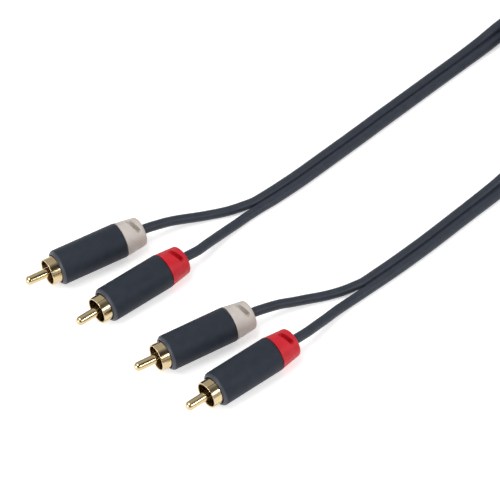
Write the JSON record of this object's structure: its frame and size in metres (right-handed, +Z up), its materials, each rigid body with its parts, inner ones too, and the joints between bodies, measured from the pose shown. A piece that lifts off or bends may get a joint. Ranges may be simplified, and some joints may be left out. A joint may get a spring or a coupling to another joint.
{
  "type": "stereo audio cable",
  "caption": "Stereo audio lead with a white and a red phono plug on each end of a joined pair of slate grey leads, spare length coiled and tied.",
  "frame": {"origin": "on the table, below the middle of the four plugs, measured without the free leads, their coil and its ties", "axes": "+Z up from the table, +X to the right and +Y away from someone who faces the plugs' tips from the front left; the four plugs spread furthest along X"},
  "size_m": [0.2591, 0.2053, 0.0156],
  "materials": {
    "sleeve": "soft satin",
    "white_collar": "satin",
    "red_collar": "satin",
    "contact": "polished gold plating",
    "insulator": "matt",
    "inner_plastic": "matt",
    "copper": "bare copper wire",
    "lead": "satin flexible jacket",
    "tie": "woven hook and loop strap"
  },
  "bodies": {
    "root": {"centre_pin_white_a": "contact", "ground_shell_white_a": "contact", "insulator_white_a": "insulator", "inner_mould_white_a": "inner_plastic", "sleeve_white_a": "sleeve", "collar_white_a": "white_collar", "core_wire_white_a": "copper", "core_insulation_white_a": "inner_plastic", "shield_tail_white_a": "copper", "lead_white_a": "lead", "centre_pin_red_a": "contact", "ground_shell_red_a": "contact", "insulator_red_a": "insulator", "inner_mould_red_a": "inner_plastic", "sleeve_red_a": "sleeve", "collar_red_a": "red_collar", "core_wire_red_a": "copper", "core_insulation_red_a": "inner_plastic", "shield_tail_red_a": "copper", "lead_red_a": "lead", "centre_pin_white_b": "contact", "ground_shell_white_b": "contact", "insulator_white_b": "insulator", "inner_mould_white_b": "inner_plastic", "sleeve_white_b": "sleeve", "collar_white_b": "white_collar", "core_wire_white_b": "copper", "core_insulation_white_b": "inner_plastic", "shield_tail_white_b": "copper", "lead_white_b": "lead", "centre_pin_red_b": "contact", "ground_shell_red_b": "contact", "insulator_red_b": "insulator", "inner_mould_red_b": "inner_plastic", "sleeve_red_b": "sleeve", "collar_red_b": "red_collar", "core_wire_red_b": "copper", "core_insulation_red_b": "inner_plastic", "shield_tail_red_b": "copper", "lead_red_b": "lead", "coiled_leads": "lead", "tie_1": "tie", "tie_2": "tie"}
  },
  "joints": []
}
